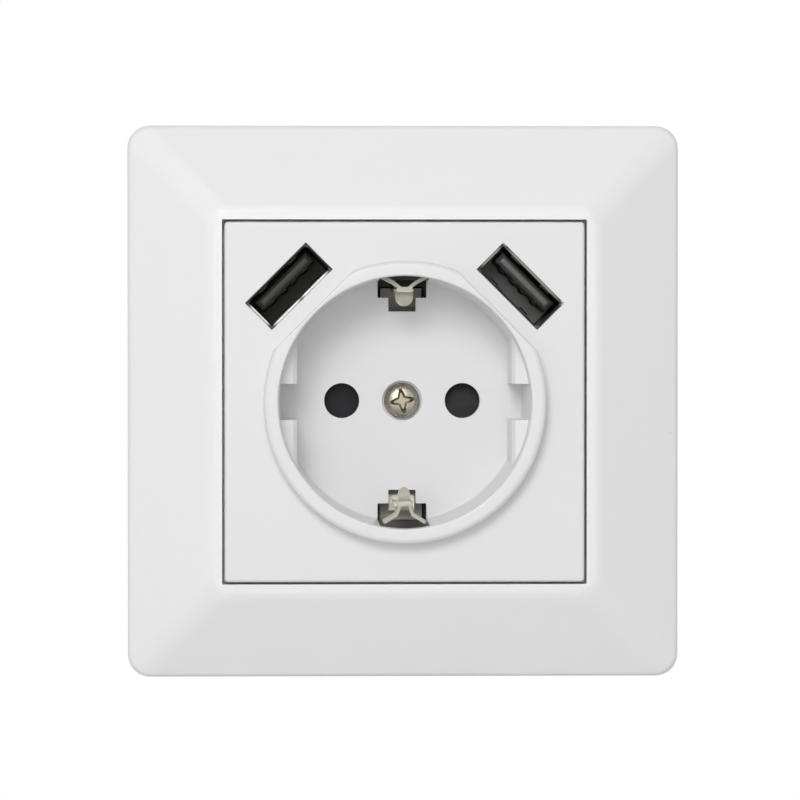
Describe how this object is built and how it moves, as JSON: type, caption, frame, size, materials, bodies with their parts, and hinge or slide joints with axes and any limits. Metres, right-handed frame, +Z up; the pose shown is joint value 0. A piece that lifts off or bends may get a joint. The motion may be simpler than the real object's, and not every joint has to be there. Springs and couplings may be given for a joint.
{
  "type": "usb wall socket",
  "caption": "Flush wall socket with a round earthed recess, bevelled square frame and USB-A charging ports set diagonally in its upper corners.",
  "frame": {"origin": "on the axis of the round well, at the wall's surface, midway between the two box screws", "axes": "+Y into the wall, -Y out to the room, +Z up, +X to the right seen from the front"},
  "size_m": [0.086, 0.051, 0.086],
  "materials": {
    "white_plastic": "smooth moulded, high gloss",
    "nickel_screw": "nickel plated",
    "zinc_steel": "zinc plated",
    "grey_plastic": "moulded",
    "dark_plastic": "moulded",
    "spring_steel": "drawn wire",
    "nickel_sheet": "nickel plated sheet",
    "brass": "stamped",
    "housing_plastic": "moulded",
    "board": "coated laminate",
    "ferrite": "sintered",
    "winding": "taped winding",
    "capacitor_sleeve": "shrink sleeve on a can",
    "black_plastic": "moulded",
    "gold_contact": "gold flashed"
  },
  "bodies": {
    "socket": {"board_link_pins": "brass", "charger_board": "board", "contact_base": "grey_plastic", "controller_chip": "dark_plastic", "cover_screw": "nickel_screw", "earth_strap": "nickel_sheet", "earth_terminal": "brass", "earth_terminal_screw": "zinc_steel", "frame": "white_plastic", "input_capacitor": "capacitor_sleeve", "live_contact": "brass", "live_terminal": "brass", "live_terminal_screw": "zinc_steel", "mains_link_pins": "brass", "neutral_contact": "brass", "neutral_terminal": "brass", "neutral_terminal_screw": "zinc_steel", "output_capacitor": "capacitor_sleeve", "rear_housing": "housing_plastic", "rectifier": "dark_plastic", "ring_screws": "zinc_steel", "shutter_spring": "spring_steel", "socket_cover": "white_plastic", "support_ring": "zinc_steel", "transformer_core": "ferrite", "transformer_winding": "winding", "usb_board": "board", "usb_contacts_left": "gold_contact", "usb_contacts_right": "gold_contact", "usb_shell_left": "nickel_sheet", "usb_shell_right": "nickel_sheet", "usb_tongue_left": "black_plastic", "usb_tongue_right": "black_plastic"},
    "shutter": {"shutter": "dark_plastic"}
  },
  "joints": [
    {"name": "shutter_turn", "type": "hinge", "parent": "socket", "child": "shutter", "pos_m": [0, 0.0074, 0], "axis": [0, 1, 0], "range_deg": [0, 40], "stiffness_Nm_per_rad": 0.0015, "springref_deg": -22.92, "deforming": ["shutter_spring"]}
  ]
}
